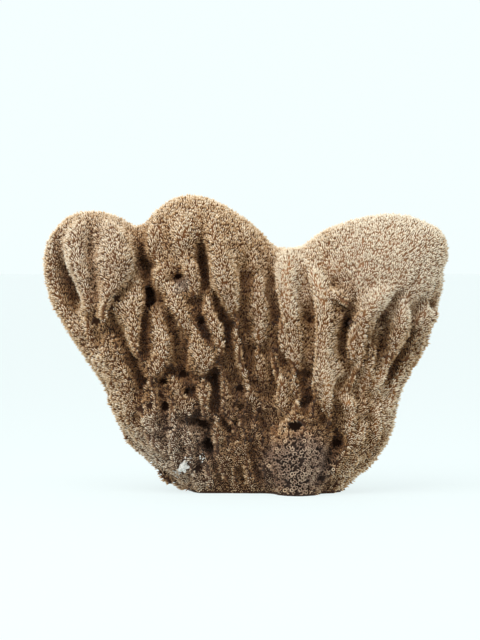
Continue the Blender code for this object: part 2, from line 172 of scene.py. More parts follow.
class Tree:  # lays out nodes and hands back the sockets that come out of them
    def __init__(self, tree):
        self.tree = tree

    def add(self, kind, inputs, out, **settings):
        node = self.tree.nodes.new(kind)
        for key, value in settings.items():
            setattr(node, key, value)
        live = [socket for socket in node.inputs if socket.enabled]
        for key, value in inputs.items():
            socket = live[key] if isinstance(key, int) else next(s for s in live if s.name == key)
            if isinstance(value, bpy.types.NodeSocket):
                self.tree.links.new(value, socket)
            else:
                socket.default_value = value
        return next(socket for socket in node.outputs if socket.enabled and socket.name == out)

    def math(self, kind, first, second):
        return self.add("ShaderNodeMath", {0: first, 1: second}, "Value", operation=kind)


class Nodes(Tree):  # one material
    def __init__(self, name, roughness, **sockets):
        self.mat = bpy.data.materials.new(name)
        self.mat.use_nodes = True
        super().__init__(self.mat.node_tree)
        self.shader = self.tree.nodes["Principled BSDF"]
        self.shader.inputs["Roughness"].default_value = roughness
        for key, value in sockets.items():
            self.shader.inputs[key.replace("_", " ")].default_value = value

    def attribute(self, name):
        return self.add("ShaderNodeAttribute", {}, "Fac", attribute_name=name)

    def noise(self, scale, detail, rough):
        place = self.add("ShaderNodeTexCoord", {}, "Object")
        sockets = {"Vector": place, "Scale": scale, "Detail": detail, "Roughness": rough}
        return self.add("ShaderNodeTexNoise", sockets, "Fac")

    def ramp(self, value, stops):
        colour = self.add("ShaderNodeValToRGB", {"Fac": value}, "Color")
        ramp = colour.node.color_ramp
        while len(ramp.elements) < len(stops):
            ramp.elements.new(0.5)
        for element, (place, shade) in zip(ramp.elements, stops):
            element.position = place
            element.color = (*shade, 1)
        return colour

    def spread(self, value, low, high, toLow, toHigh):
        sockets = {"Value": value, "From Min": low, "From Max": high, "To Min": toLow, "To Max": toHigh}
        return self.add("ShaderNodeMapRange", sockets, "Result")

    def finish(self, colour, bump, strength, distance):
        sockets = {"Height": bump, "Strength": strength, "Distance": distance}
        normal = self.add("ShaderNodeBump", sockets, "Normal")
        self.tree.links.new(colour, self.shader.inputs["Base Color"])
        self.tree.links.new(normal, self.shader.inputs["Normal"])
        return self.mat


fibreLook = {
    # painted shade in the valleys and clefts pushes the colour down these steps
    "steps": (  # colour from the bottom of the pores to the tips
        (0.00, (0.045, 0.015, 0.004)),
        (0.22, (0.150, 0.056, 0.016)),
        (0.42, (0.31, 0.141, 0.050)),
        (0.62, (0.54, 0.312, 0.138)),
        (0.80, (0.77, 0.55, 0.34)),
        (1.00, (0.95, 0.81, 0.62)),
    ),
    "roughness": 0.85,
    "specular": 0.25,
    "sheen": 0.15,
    "sheenTint": (1.0, 0.93, 0.82, 1),
    "plain": {"Saturation": 0.5, "Value": 0.92},  # of the greyed fibre
    "grain": (1300, 2, 0.6),
    "bump": (0.4, 0.35 * mm),
}


def fibreMaterial(name, levelOf):
    look = fibreLook
    nodes = Nodes(name, look["roughness"], Sheen_Weight=look["sheen"], Sheen_Tint=look["sheenTint"],
                  Specular_IOR_Level=look["specular"])
    # level: the fibre's own lightness and tone, with painted light and shade
    level = nodes.math("ADD", levelOf(nodes), nodes.attribute("tint"))
    colour = nodes.ramp(level, look["steps"])
    plain = nodes.add("ShaderNodeHueSaturation", {**look["plain"], "Color": colour}, "Color")
    sockets = {"Factor": nodes.attribute("grey"), "A": colour, "B": plain}
    colour = nodes.add("ShaderNodeMix", sockets, "Result", data_type="RGBA")
    return nodes.finish(colour, nodes.noise(*look["grain"]), *look["bump"])


# fingers: upright rolls of fibre, from the tip down. Each spot is x, height and half width in millimetres.

frontFingers = {
    "leftRim": ((-133, 196, 5), (-141, 185, 7), (-144, 172, 7), (-143, 157, 7), (-138, 142, 8),
        (-129, 127, 8), (-120, 113, 8), (-112, 98, 7), (-104, 84, 7)),
    "leftInner": ((-121, 199, 5), (-126, 188, 9), (-126, 172, 9), (-120, 158, 8), (-117, 145, 6),
        (-115, 134, 4)),
    "leftEar": ((-100, 195, 7), (-97, 185, 13), (-96, 172, 16), (-97, 158, 14), (-101, 146, 9),
        (-104, 136, 7), (-105, 126, 5)),
    "earFinger": ((-77, 156, 3), (-81, 147, 8), (-84, 135, 12), (-83, 122, 8), (-81, 110, 6),
        (-78, 98, 3)),
    "leftKnob": ((-124, 140, 3), (-121, 128, 5), (-117, 118, 6), (-113, 106, 5), (-108, 96, 4)),
    "leftBlade": ((-99, 118, 3), (-96, 108, 4), (-92, 96, 5), (-88, 82, 6), (-84, 68, 6), (-80, 56, 5)),
    "leftEdge": ((-108, 100, 6), (-102, 84, 7), (-93, 66, 7), (-85, 50, 7), (-77, 34, 7), (-66, 21, 7),
        (-54, 13, 6), (-44, 9, 5)),
    "leftBank": ((-103, 108, 5), (-98, 94, 5), (-93, 78, 5), (-86, 62, 6), (-77, 45, 6), (-67, 29, 7),
        (-55, 18, 6)),
    "crownLeft": ((-66, 196, 5), (-69, 186, 7), (-68, 174, 6)),
    "crownCrest": ((-42, 203, 6), (-46, 192, 9), (-48, 178, 8)),
    "crownSlip": ((-23, 204, 3), (-24, 194, 5), (-24, 184, 4)),
    "knuckleLeft": ((-67, 171, 4), (-62, 164, 9), (-62, 152, 8)),
    "knuckleRight": ((-46, 173, 4), (-40, 164, 8), (-38, 153, 7), (-39, 144, 5)),
    "middlePalm": ((-56, 154, 7), (-52, 142, 11), (-47, 131, 9), (-44, 120, 6)),
    "longFinger": ((-68, 138, 3), (-65, 128, 8), (-62, 115, 11), (-62, 104, 10), (-65, 94, 10),
        (-69, 86, 5)),
    "clubFinger": ((-38, 129, 3), (-38, 119, 6), (-34, 107, 11), (-31, 96, 10), (-31, 87, 6)),
    "darkFinger": ((-28, 147, 3), (-27, 135, 7), (-23, 121, 8), (-19, 109, 6), (-18, 98, 4)),
    "lensFinger": ((-31, 86, 3), (-31, 75, 9), (-30, 66, 7), (-28, 56, 3)),
    "leafFinger": ((-19, 188, 3), (-20, 178, 8), (-18, 166, 11), (-15, 154, 12), (-11, 142, 10),
        (-8, 131, 6)),
    "bladeFinger": ((-6, 130, 3), (-7, 115, 5), (-6, 100, 5), (-1, 85, 6), (3, 72, 6), (9, 58, 5)),
    "coneFinger": ((8, 163, 3), (9, 152, 8), (9, 140, 10), (10, 128, 10), (10, 117, 8), (9, 108, 4)),
    "saddleRib": ((32, 176, 7), (31, 166, 10), (29, 152, 10), (31, 138, 10), (33, 126, 10), (35, 114, 9),
        (37, 103, 7), (39, 92, 4)),
    "smallFingerA": ((8, 109, 3), (9, 100, 4), (11, 88, 4), (12, 76, 3)),
    "clubLobe": ((-28, 112, 3), (-25, 104, 6), (-25, 95, 6), (-27, 88, 3)),
    "smallFingerB": ((18, 106, 3), (21, 95, 4), (25, 83, 5), (26, 72, 5), (27, 60, 4)),
    "smallFingerC": ((34, 93, 3), (35, 82, 5), (36, 70, 5), (37, 60, 3)),
    "antler": ((45, 171, 3), (49, 161, 6), (54, 151, 8), (57, 140, 9), (57, 125, 9), (56, 110, 9),
        (56, 95, 9), (58, 80, 9), (59, 67, 8), (60, 55, 5)),
    "antlerBranch": ((75, 138, 3), (70, 143, 5), (62, 147, 7), (57, 146, 6)),
    "brow": ((104, 150, 7), (95, 143, 10), (86, 132, 9), (84, 118, 7), (83, 105, 6), (82, 92, 5)),
    "rightFinger": ((114, 141, 4), (114, 130, 8), (112, 119, 9), (107, 108, 7), (103, 97, 6), (98, 85, 6),
        (95, 73, 6), (92, 60, 6), (90, 47, 6), (86, 34, 6), (78, 20, 6), (66, 6, 6)),
    "hookRib": ((92, 113, 3), (93, 102, 4), (91, 91, 5), (88, 80, 5), (85, 68, 4), (83, 56, 4)),
    "sliver": ((79, 91, 2), (76, 82, 3), (73, 73, 3)),
    "rightRim": ((132, 136, 6), (131, 121, 8), (127, 107, 8), (118, 94, 8), (110, 80, 7), (103, 66, 7)),
    "rightFlank": ((118, 101, 5), (111, 88, 6), (104, 76, 6), (100, 64, 7), (98, 50, 7), (95, 37, 7),
        (88, 25, 7), (75, 12, 7), (60, 0, 7)),
    "rightBank": ((84, 52, 5), (80, 41, 6), (77, 29, 6), (71, 16, 6), (64, 2, 6)),
    "bossBank": ((72, 74, 6), (74, 62, 7), (73, 50, 6), (74, 38, 5), (68, 25, 6), (60, 12, 6)),
    "boss": ((36, 60, 8), (37, 44, 20), (39, 28, 23), (38, 12, 21), (36, -4, 17)),
    "footA": ((-22, 59, 3), (-21, 46, 4), (-21, 34, 4), (-18, 22, 5), (-15, 8, 5)),
    "footB": ((-12, 60, 2.5), (-9, 50, 3), (-6, 41, 3.5), (-6, 30, 4), (-8, 16, 4)),
    "footBlade": ((-6, 72, 2.5), (-6, 62, 2.5), (-4, 52, 2.5)),
    "footC": ((-4, 60, 3), (-2, 46, 4), (-1, 32, 4), (1, 20, 5), (4, 4, 5)),
    "footD": ((6, 56, 3), (9, 44, 3), (11, 32, 4), (14, 20, 5), (18, 6, 5)),
    "meshA": ((-72, 84, 3), (-68, 76, 4), (-65, 67, 4), (-66, 55, 5), (-64, 44, 5)),
    "meshB": ((-75, 78, 3), (-74, 66, 4), (-71, 54, 5), (-68, 42, 5), (-60, 30, 6)),
    "meshC": ((-55, 86, 4), (-50, 77, 5), (-46, 68, 6), (-45, 58, 5)),
    "meshD": ((-57, 74, 3), (-54, 64, 4), (-51, 53, 6), (-54, 42, 7), (-53, 30, 7), (-48, 17, 7)),
    "meshE": ((-44, 50, 5), (-43, 38, 7), (-41, 27, 6), (-37, 14, 6), (-32, 2, 6)),
    "meshF": ((-31, 30, 4), (-29, 18, 6), (-26, 4, 7)),
    "saddleTongue": ((24, 126, 3), (27, 116, 7), (30, 106, 7), (32, 97, 4)),
    "earLobe": ((-98, 118, 2), (-104, 112, 4), (-106, 102, 5), (-102, 90, 5), (-98, 78, 5)),
    "crownSlope": ((4, 178, 3), (6, 172, 6), (4, 164, 5)),
    "browInner": ((80, 132, 4), (77, 122, 5), (76, 110, 5), (76, 98, 4)),
    "rightLumpA": ((141, 138, 3), (137, 128, 6), (133, 118, 6), (126, 108, 5)),
    "footE": ((-14, 34, 3), (-12, 24, 4), (-9, 12, 4), (-7, 2, 4)),
    "meshG": ((-80, 50, 4), (-76, 40, 5), (-70, 30, 5), (-60, 20, 5)),
    "meshH": ((-46, 74, 3), (-41, 66, 5), (-42, 58, 4)),
    "darkRib": ((-19, 94, 3), (-16, 84, 4), (-16, 72, 5), (-17, 60, 4)),
}
deepClefts = {  # between the fingers of the front: how deep, and how dark with painted shade, then x, height and half width
    "crown": (0.5, (-32, 190, 1.2), (-34, 182, 2.6), (-33, 173, 4), (-30, 164, 5), (-29, 156, 4.5),
        (-28, 148, 4.5)),
    "leafRight": (0.7, (0, 172, 1.5), (-1, 160, 2), (-3, 148, 2.2), (-4, 138, 2), (-5, 130, 2)),
    "crownCrease": (0.4, (-29, 210, 1.2), (-31, 200, 1.5), (-32, 188, 2)),
    "long": (1.2, (-24, 148, 2), (-20, 139, 2.5), (-16, 131, 2.5), (-13, 120, 2.8), (-11.5, 108, 2.5),
        (-10, 96, 3), (-8, 88, 3.3), (-4.5, 79, 4), (-3, 73, 3)),
    "saddleEdge": (0.9, (21, 182, 1), (20, 170, 1.5), (18, 158, 3), (18, 146, 3.5), (21, 135, 3),
        (22, 126, 2.5)),
    "coneLeft": (0.6, (4, 160, 2.5), (0, 152, 1.5), (-1, 142, 1.5), (-1.5, 130, 1.5), (-1, 118, 1.5)),
    "darkRight": (0.8, (-33, 128, 3), (-28, 117, 2), (-24, 108, 2), (-21, 100, 2.2), (-21, 90, 2.2),
        (-22, 82, 3), (-20, 70, 2), (-20, 60, 2)),
    "palmSide": (0.8, (-57, 130, 1.5), (-54, 118, 3), (-50, 110, 3.5), (-50, 100, 3), (-48, 92, 3)),
    "earSide": (1.2, (-78, 189, 1.2), (-77, 180, 2), (-76, 171, 3), (-73, 165, 3.5), (-72, 157, 3.5),
        (-71, 148, 4), (-71, 140, 3), (-73, 132, 3), (-74, 122, 3), (-74, 112, 2.5), (-72.5, 100, 2)),
    "crownNotch": (1.0, (-75, 168, 2.5), (-70, 168, 3), (-65, 167, 2)),
    "earTop": (0.9, (-84, 152, 1.5), (-90, 147, 2.5), (-95, 143, 3), (-99, 135, 2.5), (-98, 127, 2.5),
        (-93, 121, 3), (-89, 112, 2.5), (-85, 103, 3), (-81, 94, 3.5), (-78, 86, 3.5), (-76, 76, 3),
        (-75, 68, 2.5)),
    "earInner": (0.5, (-114, 206, 1.2), (-114, 195, 2.5), (-114, 180, 3), (-113, 165, 2), (-110, 152, 2.2),
        (-108, 141, 2.8), (-109, 132, 2.5)),
    "rimInner": (0.5, (-139, 190, 1.5), (-137, 176, 2.5), (-134, 165, 3.5), (-128, 154, 5.5),
        (-125, 145, 6), (-124, 134, 3.5), (-121, 122, 2.5), (-118, 110, 2)),
    "bladeLeft": (0.4, (-100, 120, 1.5), (-101, 108, 1.5), (-99, 96, 1.2)),
    "antlerLeft": (0.7, (44, 138, 1.5), (46, 128, 2), (45, 118, 2), (43, 106, 2.2), (42, 94, 2.5),
        (43, 80, 2.5), (44, 68, 2.2), (44, 58, 2)),
    "antlerRight": (0.6, (76, 134, 4), (74, 125, 5), (70, 116, 4), (69, 106, 3), (74, 98, 3), (75, 88, 3),
        (72, 78, 3), (71, 72, 2)),
    "fingerLeft": (0.9, (100, 130, 3), (101, 120, 4), (98, 110, 4), (96, 102, 3), (94, 92, 2)),
    "fingerRight": (0.6, (121, 128, 2), (122, 118, 3), (117, 106, 3), (110, 96, 3), (105, 84, 3),
        (102, 72, 2)),
    "antlerFork": (0.5, (55, 168, 1.5), (60, 160, 2), (64, 153, 2.2), (69, 147, 2), (74, 142, 1.5)),
    "hookRight": (0.6, (88, 84, 1.5), (86, 72, 2), (84, 60, 2), (84, 50, 2), (86, 40, 2), (84, 28, 2)),
    "bankRight": (0.4, (95, 60, 1.5), (93, 44, 1.8), (90, 30, 1.8), (82, 18, 1.5)),
    "bossSide": (0.7, (63, 50, 2), (65, 43, 3), (65, 36, 3.5), (62, 31, 2.5), (59, 26, 3), (56, 18, 3),
        (52, 11, 4), (46, 6, 2)),
    "foot": (0.9, (-37, 52, 1.5), (-32, 51, 2.5), (-28, 46, 3), (-27, 38, 3), (-28, 30, 2),
        (-31, 24, 1.5)),
    "footSlit": (0.9, (-19, 57, 2), (-15, 50, 2.5), (-11, 44, 2.5), (-8, 38, 1.5)),
    "footSlitRight": (0.8, (-9, 66, 1.5), (-8, 56, 1.8), (-5, 46, 2), (-3, 38, 1.8)),
    "bladeSlit": (0.7, (-2, 66, 1.8), (-2, 56, 1.5), (0, 46, 1.2)),
    "bossLeft": (0.6, (14, 58, 1.5), (9, 42, 2), (7, 32, 2), (12, 22, 2)),
}
pores = (  # of the front: x, height, half width and half height in millimetres
    (36, 50, 4.8, 3.2), (-46, 87, 2.9, 2.7), (-60, 82, 2.5, 1.7), (-58, 64, 1.8, 3.9),
    (-74, 62, 2.5, 2.3), (-89, 78, 1.8, 1.4), (-56, 48, 2.9, 1.7), (-109, 126, 2.5, 2.3),
    (11, 60, 2.2, 1.7), (54, 12, 2.5, 2.3), (-35, 19, 2.2, 2.3), (-23, 85, 2.2, 2.7),
    (-95, 143, 2.5, 2.3), (-50, 159, 3.2, 1.9), (-32, 127, 2.2, 2.3), (65, 37, 2.5, 3.1),
    (65, 45, 1.8, 2.3), (-4, 77, 2.5, 3.1), (-31, 51, 3.2, 2.3), (-28, 36, 2.5, 3.9), (21, 106, 1.4, 2),
    (2, 107, 1.3, 1.4), (7, 82, 1.3, 1.4), (-43, 75, 1.4, 1.6), (46, 127, 1.4, 2.3), (-68, 65, 1.4, 1.7),
    (-62, 72, 1.3, 1.7), (75, 126, 2.5, 2), (-12, 46, 1.4, 3.1),
)
fingerLook = {
    "stand": 0.6 * mm,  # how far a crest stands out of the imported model
    "depth": 1.3,  # how much deeper than wide a finger is
    "tip": (0.7, 0.35),  # how far it runs on past its ends, and how thin it is there, in half widths
    "reach": 2 * mm,  # it is laid on the outermost of three places this far apart
    "moat": (0.5 * mm, 6 * mm),  # from here to here off its side the body rises again
    "valley": 8.5 * mm,  # how far the body lies below its smoothed shell between fingers
    "domes": (125 * mm, 175 * mm, 0.18),  # valleys grow shallower between these heights, to this share
    "leftLobe": (-62 * mm, -84 * mm, 0.45),  # and between these places
    "lobeFoot": 100 * mm,
    "foot": (85 * mm, 50 * mm, 0.4),  # and again down here
    "shellRounds": 60,
}
strandLook = {  # thin strands that fill the gaps between the fingers
    "count": 34,
    "spread": 138,
    "scatter": 3,
    "below": (25, 60),  # the top of the body
    "sway": 2.5,
    "steps": 11,
    "gather": 0.42,
    "width": (2.6, 3.8),
    "sunk": 4.5 * mm,
    "seed": 4,
}
# Fans of fingers on the sides that don't show, made by rule. Heading 90 is the right side. A tier is a
# number of fingers, how far across they spread and how far down their tips start, in millimetres.
hiddenSides = {
    "back": {"heading": 180, "tiers": ((15, 122, 16, 70), (12, 100, 62, 118)), "gather": 0.42, "shift": -6,
             "width": (6, 9)},
    "left": {"heading": -90, "tiers": ((4, 26, 14, 60), (3, 20, 70, 110)), "gather": 0.9, "shift": -4,
             "width": (6, 8)},
    "right": {"heading": 90, "tiers": ((4, 28, 14, 60), (3, 22, 70, 110)), "gather": 0.9, "shift": 0,
              "width": (6, 8)},
}
fanLook = {
    "scatter": 4,  # how far a tip strays across, in millimetres
    "length": (60, 150),
    "sway": 5,
    "steps": 8,
    "seed": 11,
}


def swing(heading):
    return Matrix.Rotation(math.radians(heading), 4, "Z")


def onSurface(tree, across, z, turn):  # outermost of three places, in the frame that has that side in front
    found = []
    for shift in (-1, 0, 1):
        start = turn @ Vector((across + shift * fingerLook["reach"], -1, z))
        hit = tree.ray_cast(start, turn @ Vector((0, 1, 0)))[0]
        if hit is not None:
            found.append((turn.inverted() @ hit).y)
    if not found:
        found = [(turn.inverted() @ tree.find_nearest(turn @ Vector((across, 0, z)))[0]).y]
    return Vector((across, min(found), z))


def finger(tree, spots, turn, crests, stand=None):  # a tapering tube whose crest lies on the surface
    look = fingerLook
    points = []
    crest = []
    for across, z, half in spots:
        place = onSurface(tree, across * mm, clamp(z * mm, 1 * mm, 1), turn)
        crest.append((turn @ place, half * mm))
        place.y += look["depth"] * half * mm - (look["stand"] if stand is None else stand)
        place.z = z * mm
        points.append((place, half * mm))
    crests.append(crest)
    on, thin = look["tip"]
    for end, inner, at in ((points[0], points[1], 0), (points[-1], points[-2], len(points) + 1)):
        way = (end[0] - inner[0]).normalized()
        points.insert(at, (end[0] + way * on * end[1], end[1] * thin))
    data = bpy.data.curves.new("finger", "CURVE")
    data.dimensions = "3D"
    data.bevel_depth = 1
    data.bevel_resolution = 3
    data.use_fill_caps = True
    data.resolution_u = 6
    spline = data.splines.new("NURBS")
    spline.points.add(len(points) - 1)
    for spot, (place, half) in zip(spline.points, points):
        spot.co = (place.x, place.y / look["depth"], place.z, 1)
        spot.radius = half
    spline.order_u = 3
    spline.use_endpoint_u = True
    made = bpy.data.objects.new("finger", data)
    bpy.context.scene.collection.objects.link(made)
    made.matrix_world = turn @ Matrix.Diagonal((1, look["depth"], 1, 1))
    return made


def topOf(tree, heading, across):  # height of the body over one side, in millimetres
    start = swing(heading) @ Vector((across * mm, -14 * mm, 1))
    hit = tree.ray_cast(start, Vector((0, 0, -1)))[0] or tree.find_nearest(start)[0]
    return hit.z / mm


def fan(side, tree):  # spots of one hidden side's fingers
    look = fanLook
    draw = random.Random(look["seed"] + side["heading"])
    for count, spread, high, low in side["tiers"]:
        for number in range(count):
            tip = spread * (2 * number / (count - 1) - 1) + draw.uniform(-look["scatter"], look["scatter"])
            foot = tip * side["gather"] + side["shift"]
            tipHeight = topOf(tree, side["heading"], tip) - draw.uniform(high, low)
            bottom = clamp(tipHeight - draw.uniform(*look["length"]), -8, 200)
            half = draw.uniform(*side["width"])
            sway = draw.uniform(-look["sway"], look["sway"])
            spots = []
            for step in range(look["steps"]):
                t = step / (look["steps"] - 1)
                z = tipHeight + (bottom - tipHeight) * t
                fall = 1 - clamp(z / tipHeight)
                swell = math.sin(math.pi * clamp(0.1 + 0.85 * t)) ** 0.5
                spots.append((tip + (foot - tip) * fall**0.8 + sway * math.sin(6 * t), z, half * swell))
            yield spots


def strands(tree):  # spots of the thin strands, from under the domes down to the foot
    look = strandLook
    draw = random.Random(look["seed"])
    for number in range(look["count"]):
        tip = look["spread"] * (2 * number / (look["count"] - 1) - 1)
        tip += draw.uniform(-look["scatter"], look["scatter"])
        high = topOf(tree, 0, tip) - draw.uniform(*look["below"])
        spots = []
        for step in range(look["steps"]):
            t = step / (look["steps"] - 1)
            across = tip * (1 - (1 - look["gather"]) * t**0.8)
            across += look["sway"] * math.sin(9 * t + number * 2.1)
            half = draw.uniform(*look["width"]) * min(1, 4 * t + 0.3)
            spots.append((across, high * (1 - t) - 4 * t, half))
        yield spots


def layFingers(tree):
    crests = []
    made = [finger(tree, spots, swing(0), crests) for spots in frontFingers.values()]
    for side in hiddenSides.values():
        made += [finger(tree, spots, swing(side["heading"]), crests) for spots in fan(side, tree)]
    made += [finger(tree, spots, swing(0), [], -strandLook["sunk"]) for spots in strands(tree)]
    made += [finger(tree, spots, swing(180), [], -strandLook["sunk"]) for spots in strands(tree)]
    only(made[0])
    for obj in made:
        obj.select_set(True)
    bpy.ops.object.convert(target="MESH")
    print("fingers laid:", len(made))
    return made, crests


# fibre skin: body and fingers grown together, under the tufts

skinLook = {
    "sketchGrain": 2.4 * mm,
    "grain": 1.75 * mm,
    "inset": 2.0 * mm,  # the tufts stand this far out again
    "cutHeight": 0.5 * mm,  # what lies lower is the flat cut
    "undercut": (-37 * mm, 0.45),  # left of here the foot rises off the floor, this steeply
    "flanks": (  # side, how far it swells out, between which heights and over which reach from the middle
        (1, 7 * mm, 6 * mm, 80 * mm, 60 * mm, 92 * mm), (-1, 5.5 * mm, 12 * mm, 78 * mm, 50 * mm, 82 * mm),
    ),
    "footRise": 10 * mm,  # nothing is sunk at the flat cut, all of it from here up
    "seamDepth": 4.5 * mm,  # between two fingers that touch
    "seamWidth": (0.05, 0.75),  # from its bottom to its sides, in half widths of the nearer finger
    "cleftDepth": 7.5 * mm,
    "cleftWidth": (0.1, 1.4),  # from the bottom to the rim, in half widths, and so for the pores
    "poreDepth": 12 * mm,
    "poreWidth": (0.7, 1.25),
    "poreBare": (0.75, 1.1),  # no tufts stand in here
    "rays": 20,
    "raySeed": 3,
    "rayStart": 0.8 * mm,
    "rayLength": 30 * mm,
    "rayLean": 1.02,  # so that all of them leave the surface
}


tuftRoot = (0.0, 0.0, -0.050)  # all fibre grows away from this place below the foot
crackLook = {
    "radius": 130 * mm,  # distance from tuftRoot at which the ridges have their width
    "sizes": ((9 * mm, 30 * mm, 1.0), (5 * mm, 14 * mm, 0.55)),  # ridges: width, length, share of the depth
    "edge": 0.14,  # width of a crack, as a value of the noise
    "depth": 3.8 * mm,
    "fade": (70 * mm, 140 * mm, 0.12),  # between these heights the cracks grow shallower, to this share
}


crestLook = {
    "between": 6,  # spots from one given spot to the next
    "nearest": 24,  # how many of them are asked for the next finger
    "off": (0.3, 0.9),  # a seam begins this many half widths off the crest
    "aside": (0.35, 0.8),  # and where this share of the way there is level
}


def ease(value, low, high):  # 0 below low, 1 above high, soft between
    t = clamp((value - low) / (high - low))
    return t * t * (3 - 2 * t)


class Crests:  # spots along the fingers' crests, each with its half width and its finger
    def __init__(self, crests):
        look = crestLook
        self.spots = []
        for number, crest in enumerate(crests):
            for (start, halfStart), (end, halfEnd) in zip(crest, crest[1:]):
                for step in range(look["between"]):
                    t = step / look["between"]
                    self.spots.append((start.lerp(end, t), halfStart + (halfEnd - halfStart) * t, number))
        self.tree = KDTree(len(self.spots))
        for index, (place, _, _) in enumerate(self.spots):
            self.tree.insert(place, index)
        self.tree.balance()

    def outside(self, place):  # how far off the side of the nearest finger a place is
        _, index, away = self.tree.find(place)
        return away - self.spots[index][1]

    def around(self, place):  # half widths to the nearest crest, share of a seam, half widths to the next
        look = crestLook
        best = {}
        for spot, index, away in self.tree.find_n(place, look["nearest"]):
            _, half, number = self.spots[index]
            if away / half < best.get(number, (math.inf,))[0]:
                best[number] = (away / half, spot - place)
        (first, off), *rest = sorted(best.values(), key=lambda found: found[0])
        aside = math.hypot(off.x, off.y) / (off.length + 0.01 * mm)
        seam = ease(first, *look["off"]) * ease(aside, *look["aside"]) if rest else 0
        return first, seam, (rest[0][0] - first if rest else 9)


def relief(place):  # share of their depth that valleys have at a place: less on the domes and the left lobe
    look = fingerLook
    share = 1
    for value, (start, end, least) in ((place.z, look["domes"]), (place.x, look["leftLobe"])):
        share *= 1 - (1 - least) * clamp((value - start) / (end - start)) * (place.z > look["lobeFoot"])
    return share


def lowered(place):  # share of that depth that is left near the foot
    start, end, least = fingerLook["foot"]
    return 1 - (1 - least) * clamp((place.z - start) / (end - start))


def sinkBody(sketch, shell, lines):  # lowers the body round the fingers
    look = fingerLook
    moved = []
    for vert in sketch.data.vertices:
        share = 1 - ease(lines.outside(vert.co), *look["moat"])
        share *= clamp(vert.co.z / skinLook["footRise"]) * chipBed(vert.co)
        spot, normal, _, _ = shell.find_nearest(vert.co)
        low = spot - normal * look["valley"] * relief(vert.co) * lowered(vert.co)
        moved.append(vert.co.lerp(low, share))
    move(sketch, moved)


def toLine(x, z, spots):  # least distance to a line of spots, in the half widths there
    least = 99
    for (ax, az, aw), (bx, bz, bw) in zip(spots, spots[1:]):
        dx, dz = bx - ax, bz - az
        t = clamp(((x - ax) * dx + (z - az) * dz) / (dx * dx + dz * dz))
        least = min(least, math.hypot(x - ax - dx * t, z - az - dz * t) / (aw + (bw - aw) * t))
    return least


def inCleft(x, z, inner, outer):  # how deep in a cleft a place is, its sides between two half widths
    most = 0
    for share, *spots in deepClefts.values():
        if spots[-1][1] - 8 < z < spots[0][1] + 8:
            most = max(most, share * (1 - ease(toLine(x, z, spots), inner, outer)))
    return most


def inPore(x, z, inner, outer):
    most = 0
    for left, high, half, tall in pores:
        if abs(x - left) < 9 and abs(z - high) < 9:
            most = max(most, 1 - ease(math.hypot((x - left) / half, (z - high) / tall), inner, outer))
    return most


chipLook = {
    "spot": (-46, 20, 4),  # x, height and radius of what it covers, in millimetres
    "bed": (1.2, 2.6),  # the fibre isn't sunk this near to it, in its radii
    "bare": (0.8, 1.1),  # and has no tufts here
}


def fromMiddle(place, x, z, radius):  # how far a place is from the middle of a round patch, in its radii
    return math.hypot(place.x / mm - x, place.z / mm - z) / radius


def chipBed(place):  # 0 behind the chip, where nothing is sunk, 1 well away from it
    return ease(fromMiddle(place, *chipLook["spot"]), *chipLook["bed"]) if place.y < 0 else 1


def crack(place):  # how deep in one of the cracks that run up the fan between small ridges
    look = crackLook
    out = place - Vector(tuftRoot)
    most = 0
    for across, along, share in look["sizes"]:
        at = out.normalized() * look["radius"] / across + Vector((0, out.length / along, 0))
        most = max(most, share * (1 - ease(abs(noise.noise(at)), 0.0, look["edge"])))
    start, end, least = look["fade"]
    return most * (1 - (1 - least) * ease(place.z, start, end))


def pushIn(skin, lines):  # seams between the fingers, then the clefts and pores of the front
    look = skinLook
    moved = []
    for vert in skin.data.vertices:
        x, y, z = (part / mm for part in vert.co)
        push = 0
        if vert.normal.y < 0.1 and y < 0 and z > 3:
            push = max(look["cleftDepth"] * inCleft(x, z, *look["cleftWidth"]),
                       look["poreDepth"] * inPore(x, z, *look["poreWidth"]))
        _, seam, further = lines.around(vert.co)
        seam *= 1 - ease(further, *look["seamWidth"])
        sunk = look["seamDepth"] * seam * relief(vert.co) + crackLook["depth"] * crack(vert.co)
        sunk *= clamp(vert.co.z / look["footRise"]) * chipBed(vert.co)
        moved.append(vert.co + Vector((0, push, 0)) - vert.normal * sunk)
    move(skin, moved)


def findBare(skin):  # 1 in a pore and under the chip, where no tufts stand
    values = []
    for vert in skin.data.vertices:
        pore = inPore(vert.co.x / mm, vert.co.z / mm, *skinLook["poreBare"])
        chip = 1 - ease(fromMiddle(vert.co, *chipLook["spot"]), *chipLook["bare"])
        values.append(max(pore, chip) if vert.co.y < 0 else 0)
    store(skin, "bare", values)


